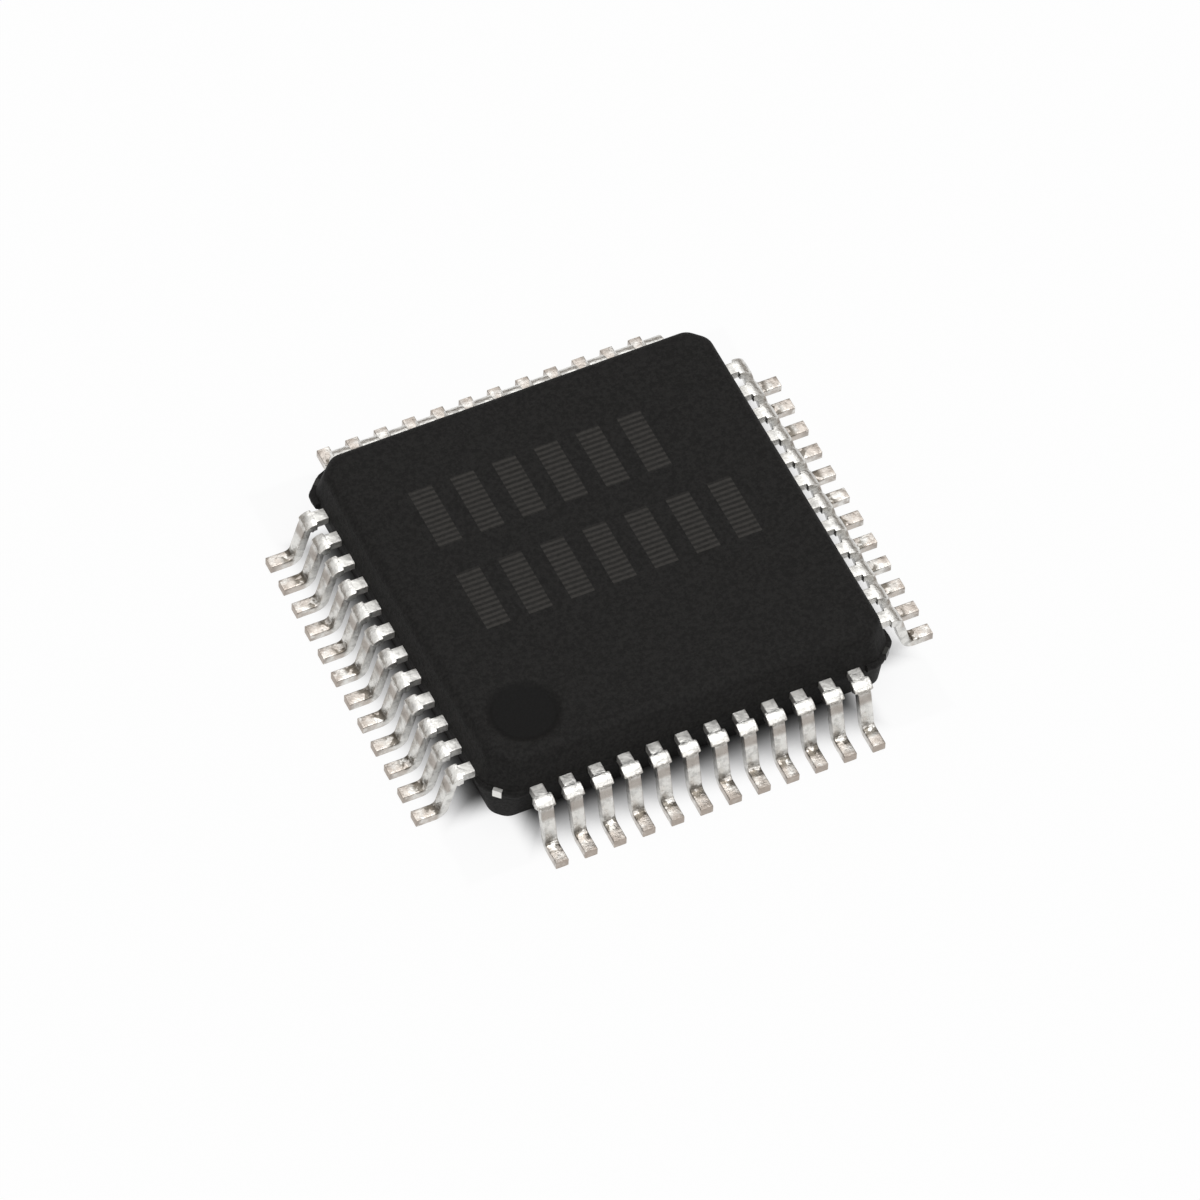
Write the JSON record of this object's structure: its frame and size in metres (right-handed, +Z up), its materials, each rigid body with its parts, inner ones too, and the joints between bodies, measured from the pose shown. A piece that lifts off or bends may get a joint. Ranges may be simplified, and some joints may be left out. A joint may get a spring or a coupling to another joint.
{
  "type": "quad flat pack chip",
  "caption": "Low-profile quad flat package chip: square black moulded body with a pin 1 dimple and cut corners, and a row of fine gull-wing tin-plated leads on each side",
  "frame": {"origin": "centre of the package on the seating plane under the feet of the leads", "axes": "+Z up, square to the board; the rows of leads lie along X and Y, and the pin 1 dimple is at the corner toward -X and -Y"},
  "size_m": [0.009, 0.009, 0.0015],
  "materials": {
    "mold_body": "fine-grained dark charcoal epoxy moulding compound",
    "lead": "matte tin plating over a stamped copper alloy, slightly mottled",
    "die_pad": "bare stamped copper alloy",
    "die_attach": "silver-filled adhesive",
    "die": "polished silicon",
    "bond_wire": "fine gold wire"
  },
  "bodies": {
    "root": {"mold_body": "mold_body", "die_pad": "die_pad", "die_attach": "die_attach", "die": "die", "bond_wires_front": "bond_wire", "bond_wires_right": "bond_wire", "bond_wires_back": "bond_wire", "bond_wires_left": "bond_wire", "lead_01": "lead", "lead_02": "lead", "lead_03": "lead", "lead_04": "lead", "lead_05": "lead", "lead_06": "lead", "lead_07": "lead", "lead_08": "lead", "lead_09": "lead", "lead_10": "lead", "lead_11": "lead", "lead_12": "lead", "lead_13": "lead", "lead_14": "lead", "lead_15": "lead", "lead_16": "lead", "lead_17": "lead", "lead_18": "lead", "lead_19": "lead", "lead_20": "lead", "lead_21": "lead", "lead_22": "lead", "lead_23": "lead", "lead_24": "lead", "lead_25": "lead", "lead_26": "lead", "lead_27": "lead", "lead_28": "lead", "lead_29": "lead", "lead_30": "lead", "lead_31": "lead", "lead_32": "lead", "lead_33": "lead", "lead_34": "lead", "lead_35": "lead", "lead_36": "lead", "lead_37": "lead", "lead_38": "lead", "lead_39": "lead", "lead_40": "lead", "lead_41": "lead", "lead_42": "lead", "lead_43": "lead", "lead_44": "lead", "lead_45": "lead", "lead_46": "lead", "lead_47": "lead", "lead_48": "lead"}
  },
  "joints": []
}
